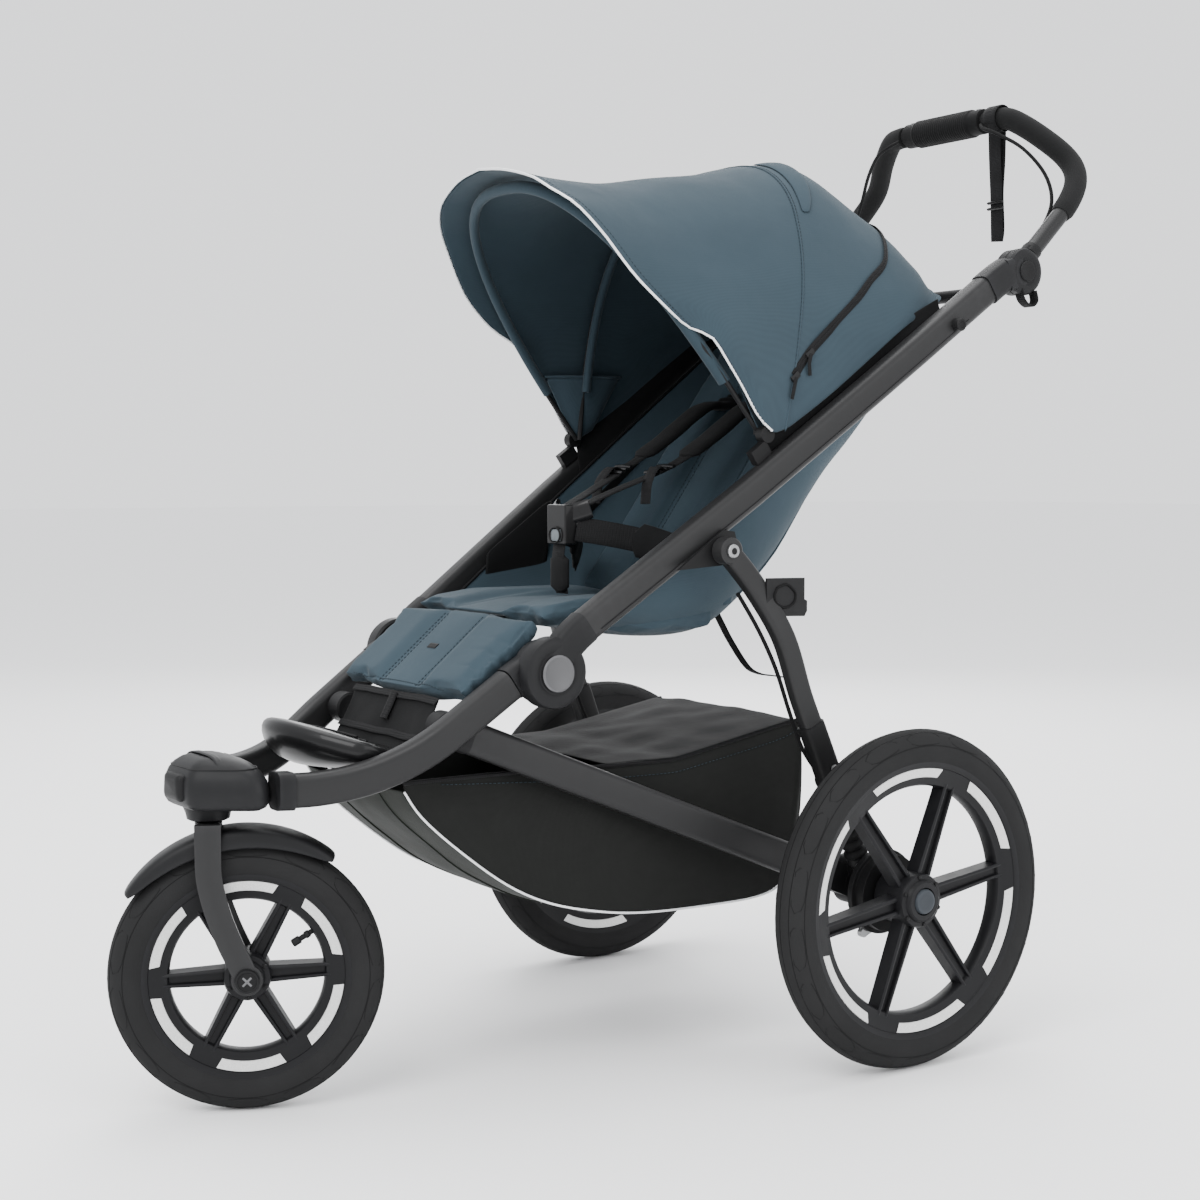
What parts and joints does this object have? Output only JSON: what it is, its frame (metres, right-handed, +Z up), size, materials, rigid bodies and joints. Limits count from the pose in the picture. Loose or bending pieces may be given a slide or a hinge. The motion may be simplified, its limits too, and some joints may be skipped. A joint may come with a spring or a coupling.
{
  "type": "three-wheel stroller",
  "caption": "Three-wheel all-terrain baby stroller with a folding frame, swivel front wheel, reclining padded seat, canopy, under-seat basket and height-adjustable handle.",
  "frame": {"origin": "on the ground under the middle of the whole outline", "axes": "+Z up, -Y the way it rolls, +X the child's left"},
  "size_m": [0.694, 1.2597, 1.1946],
  "materials": {
    "frame_paint": "satin",
    "fork_paint": "satin",
    "casting_plastic": "satin",
    "dark_plastic": "matte",
    "gloss_black": "gloss",
    "badge_grey": "satin",
    "button_grey": "matte",
    "hub_cap_grey": "satin",
    "steel": "satin",
    "rim_black": "satin",
    "tyre": "matte",
    "foam": "matte",
    "rubber": "satin",
    "canopy_cloth": "matte",
    "seat_cloth": "matte",
    "black_cloth": "matte",
    "basket_cloth": "matte",
    "webbing": "matte"
  },
  "bodies": {
    "front_frame": {"nose_casting": "casting_plastic", "swivel_cup": "casting_plastic", "front_tube_left": "frame_paint", "front_tube_right": "frame_paint", "hinge_knuckles": "casting_plastic", "frame_pins": "steel", "footrest": "dark_plastic", "footwell_panel": "black_cloth", "legrest_pad": "seat_cloth"},
    "latch": {"nose_latch": "dark_plastic"},
    "fork_swivel": {"fork": "fork_paint", "front_fender": "casting_plastic", "front_axle": "dark_plastic"},
    "front_wheel": {"front_rim": "rim_black", "front_tyre": "tyre"},
    "rear_carrier": {"stay_left": "frame_paint", "stay_right": "frame_paint", "axle_beam": "frame_paint", "axle_housings": "casting_plastic", "brake_backplates": "dark_plastic", "basket": "basket_cloth", "basket_cover": "black_cloth"},
    "wheel_left": {"rear_rim_left": "rim_black", "rear_tyre_left": "tyre"},
    "wheel_right": {"rear_rim_right": "rim_black", "rear_tyre_right": "tyre"},
    "hub_button_l": {"hub_button_left": "hub_cap_grey"},
    "hub_button_r": {"hub_button_right": "hub_cap_grey"},
    "brake_arm_l": {"brake_arm_left": "steel"},
    "brake_arm_r": {"brake_arm_right": "steel"},
    "pedal": {"brake_pedal": "dark_plastic"},
    "upper_frame": {"upper_tube_left": "frame_paint", "upper_tube_right": "frame_paint", "hinge_discs": "casting_plastic", "hinge_badges": "badge_grey", "link_brackets": "casting_plastic", "handle_housings": "casting_plastic", "rear_cross_bar": "dark_plastic", "accessory_studs": "dark_plastic", "seat_tub": "seat_cloth", "seat_cushion": "seat_cloth", "canopy_clips": "dark_plastic", "harness_straps": "webbing", "harness_buckle": "gloss_black", "canopy_fabric": "canopy_cloth"},
    "harness_release": {"buckle_button": "button_grey"},
    "backrest": {"back_cushion": "seat_cloth"},
    "rear_links": {"rear_link_left": "frame_paint", "rear_link_right": "frame_paint", "suspension_bellows": "rubber", "link_cables": "rubber"},
    "handle": {"handlebar": "frame_paint", "foam_grip": "foam", "handle_cables": "rubber", "wrist_strap": "webbing"},
    "twist_grip": {"brake_grip": "rubber"},
    "height_release_l": {"height_button_left": "gloss_black"},
    "height_release_r": {"height_button_right": "gloss_black"},
    "front_bow": {"canopy_front_bow": "steel"},
    "mid_bow": {"canopy_mid_bow": "steel"}
  },
  "joints": [
    {"name": "front_swivel", "type": "hinge", "parent": "front_frame", "child": "fork_swivel", "pos_m": [0, -0.529, 0.33], "axis": [0, 0, 1], "continuous": true},
    {"name": "front_wheel_spin", "type": "hinge", "parent": "fork_swivel", "child": "front_wheel", "pos_m": [0.0169, -0.49275, 0.15], "axis": [0.9063, -0.4226, 0], "continuous": true},
    {"name": "latch_slide", "type": "slide", "parent": "front_frame", "child": "latch", "axis": [0, 1, 0], "range_m": [0, 0.004], "stiffness_N_per_m": 800},
    {"name": "frame_fold", "type": "hinge", "parent": "front_frame", "child": "upper_frame", "pos_m": [0, -0.197, 0.478], "axis": [-1, 0, 0], "range_deg": [0, 120], "deforming": ["seat_tub", "seat_cushion", "harness_straps", "legrest_pad", "footwell_panel", "basket", "basket_cover"]},
    {"name": "carrier_fold", "type": "hinge", "parent": "front_frame", "child": "rear_carrier", "pos_m": [0, -0.3, 0.418], "axis": [-1, 0, 0], "range_deg": [0, 88], "deforming": ["basket", "basket_cover"]},
    {"name": "link_fold", "type": "hinge", "parent": "upper_frame", "child": "rear_links", "pos_m": [0, 0.01, 0.61], "axis": [1, 0, 0], "range_deg": [0, 52]},
    {"name": "rear_wheel_spin_left", "type": "hinge", "parent": "rear_carrier", "child": "wheel_left", "pos_m": [0.32, 0.213, 0.2], "axis": [1, 0, 0], "continuous": true},
    {"name": "rear_wheel_spin_right", "type": "hinge", "parent": "rear_carrier", "child": "wheel_right", "pos_m": [-0.32, 0.213, 0.2], "axis": [1, 0, 0], "continuous": true},
    {"name": "hub_release_left", "type": "slide", "parent": "wheel_left", "child": "hub_button_l", "axis": [-1, 0, 0], "range_m": [0, 0.003], "stiffness_N_per_m": 600},
    {"name": "hub_release_right", "type": "slide", "parent": "wheel_right", "child": "hub_button_r", "axis": [1, 0, 0], "range_m": [0, 0.003], "stiffness_N_per_m": 600},
    {"name": "grip_twist", "type": "hinge", "parent": "handle", "child": "twist_grip", "pos_m": [0, 0.574, 1.17564], "axis": [1, 0, 0], "range_deg": [0, 30], "stiffness_Nm_per_rad": 1},
    {"name": "brake_cam_left", "type": "hinge", "parent": "rear_carrier", "child": "brake_arm_l", "pos_m": [0.262, 0.228, 0.165], "axis": [1, 0, 0], "range_deg": [0, 15]},
    {"name": "brake_cam_right", "type": "hinge", "parent": "rear_carrier", "child": "brake_arm_r", "pos_m": [-0.262, 0.228, 0.165], "axis": [1, 0, 0], "range_deg": [0, 15]},
    {"name": "parking_pedal", "type": "hinge", "parent": "rear_carrier", "child": "pedal", "pos_m": [0, 0.213, 0.2], "axis": [-1, 0, 0], "range_deg": [0, 25]},
    {"name": "recline", "type": "hinge", "parent": "upper_frame", "child": "backrest", "pos_m": [0, 0.075, 0.525], "axis": [1, 0, 0], "range_deg": [-25, 0], "deforming": ["seat_tub", "harness_straps", "seat_cushion"]},
    {"name": "handle_height", "type": "hinge", "parent": "upper_frame", "child": "handle", "pos_m": [0, 0.478, 0.95364], "axis": [1, 0, 0], "range_deg": [-70, 0], "deforming": ["wrist_strap"]},
    {"name": "height_release_left", "type": "slide", "parent": "upper_frame", "child": "height_release_l", "axis": [-1, 0, 0], "range_m": [0, 0.003], "stiffness_N_per_m": 600},
    {"name": "height_release_right", "type": "slide", "parent": "upper_frame", "child": "height_release_r", "axis": [1, 0, 0], "range_m": [0, 0.003], "stiffness_N_per_m": 600},
    {"name": "canopy_front", "type": "hinge", "parent": "upper_frame", "child": "front_bow", "pos_m": [0, 0.085, 0.74404], "axis": [1, 0, 0], "range_deg": [-90, 0], "deforming": ["canopy_fabric"]},
    {"name": "canopy_middle", "type": "hinge", "parent": "upper_frame", "child": "mid_bow", "pos_m": [0, 0.085, 0.74404], "axis": [1, 0, 0], "range_deg": [-45, 0], "deforming": ["canopy_fabric"]},
    {"name": "harness_button", "type": "slide", "parent": "upper_frame", "child": "harness_release", "axis": [0, 1, 0], "range_m": [0, 0.003], "stiffness_N_per_m": 400}
  ],
  "couplings": [
    {"joint": "carrier_fold", "follows": "frame_fold", "ratio": 0.73},
    {"joint": "link_fold", "follows": "frame_fold", "ratio": 0.43},
    {"joint": "brake_cam_left", "follows": "grip_twist", "ratio": 0.5},
    {"joint": "brake_cam_right", "follows": "grip_twist", "ratio": 0.5},
    {"joint": "canopy_middle", "follows": "canopy_front", "ratio": 0.5}
  ]
}
